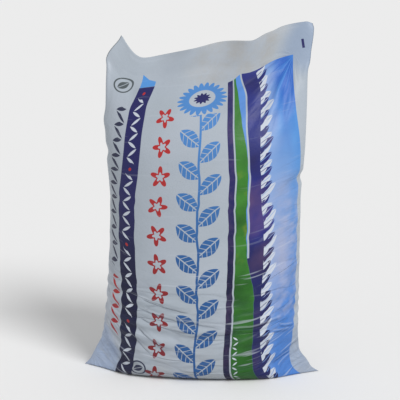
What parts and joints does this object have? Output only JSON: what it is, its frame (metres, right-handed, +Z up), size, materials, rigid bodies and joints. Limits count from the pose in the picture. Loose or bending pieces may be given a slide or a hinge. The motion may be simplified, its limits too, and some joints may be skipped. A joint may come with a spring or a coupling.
{
  "type": "compost bag",
  "caption": "Filled plastic film bag of compost standing on its sealed end: rounded body, two flat bottom corners and a wavy flap above the top seal.",
  "frame": {"origin": "on the floor, at the middle of the bag's width and depth", "axes": "+Z up, from the sealed foot to the flap; +X to the right along the flat width of the film, seen from the printed front; the printed front faces -Y"},
  "size_m": [0.432, 0.1922, 0.632],
  "materials": {
    "printed_film": "thin milky polyethylene film with a soft sheen, printed with blue, navy, green and red"
  },
  "bodies": {
    "root": {"compost_bag": "printed_film"}
  },
  "joints": []
}
